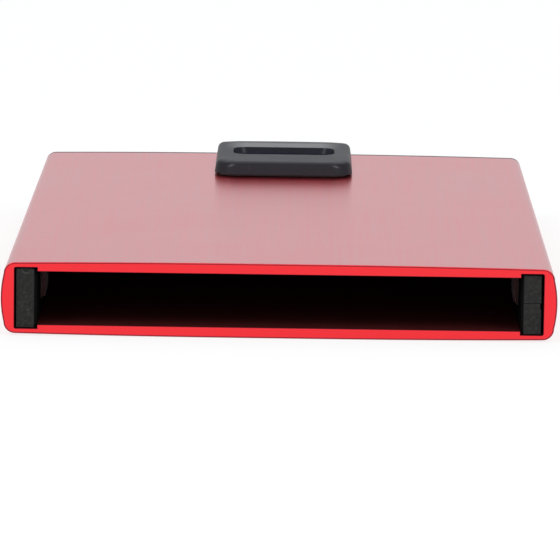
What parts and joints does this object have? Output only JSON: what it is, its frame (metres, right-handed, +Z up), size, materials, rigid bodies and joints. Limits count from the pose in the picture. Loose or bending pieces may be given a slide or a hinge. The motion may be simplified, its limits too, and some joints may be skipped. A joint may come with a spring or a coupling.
{
  "type": "pop up card holder",
  "caption": "Slim metal card case with black guide rails in its open mouth and a thumb slide that pushes a stepped lifter, so the cards rise out of the mouth in a fan.",
  "frame": {"origin": "under the middle of the holder, on the surface it rests on", "axes": "+X across the holder, +Y lengthwise from the mouth to the closed end, +Z up through the face with the thumb slide"},
  "size_m": [0.063, 0.102, 0.0105],
  "materials": {
    "anodised_red": "lengthwise brushed, red anodised",
    "black_plastic": "satin moulded",
    "rail_plastic": "matt moulded",
    "lifter_plastic": "matt moulded",
    "glide_film": "smooth low-friction film",
    "bright_steel": "drawn wire and strip",
    "black_steel": "blackened",
    "grey_felt": "pressed felt"
  },
  "bodies": {
    "case": {"case_shell": "anodised_red", "end_cap": "black_plastic", "left_guide_rail": "rail_plastic", "right_guide_rail": "rail_plastic", "left_guide_rod": "bright_steel", "right_guide_rod": "bright_steel", "left_return_spring": "bright_steel", "right_return_spring": "bright_steel", "left_leaf_spring": "bright_steel", "right_leaf_spring": "bright_steel", "left_cap_screw": "black_steel", "right_cap_screw": "black_steel"},
    "slider": {"thumb_slide": "black_plastic", "glide_sheet": "glide_film", "card_lifter": "lifter_plastic", "left_slide_screw": "black_steel", "right_slide_screw": "black_steel"},
    "left_shoe": {"left_grip_shoe": "rail_plastic", "left_felt_strip": "grey_felt"},
    "right_shoe": {"right_grip_shoe": "rail_plastic", "right_felt_strip": "grey_felt"}
  },
  "joints": [
    {"name": "thumb_slide_travel", "type": "slide", "parent": "case", "child": "slider", "axis": [0, -1, 0], "range_m": [0, 0.017], "stiffness_N_per_m": 80, "springref_m": -0.008, "deforming": ["left_return_spring", "right_return_spring"]},
    {"name": "left_shoe_press", "type": "slide", "parent": "case", "child": "left_shoe", "axis": [-1, 0, 0], "range_m": [0, 0.0006], "stiffness_N_per_m": 900, "springref_m": -0.0003, "deforming": ["left_leaf_spring"]},
    {"name": "right_shoe_press", "type": "slide", "parent": "case", "child": "right_shoe", "axis": [1, 0, 0], "range_m": [0, 0.0006], "stiffness_N_per_m": 900, "springref_m": -0.0003, "deforming": ["right_leaf_spring"]}
  ]
}
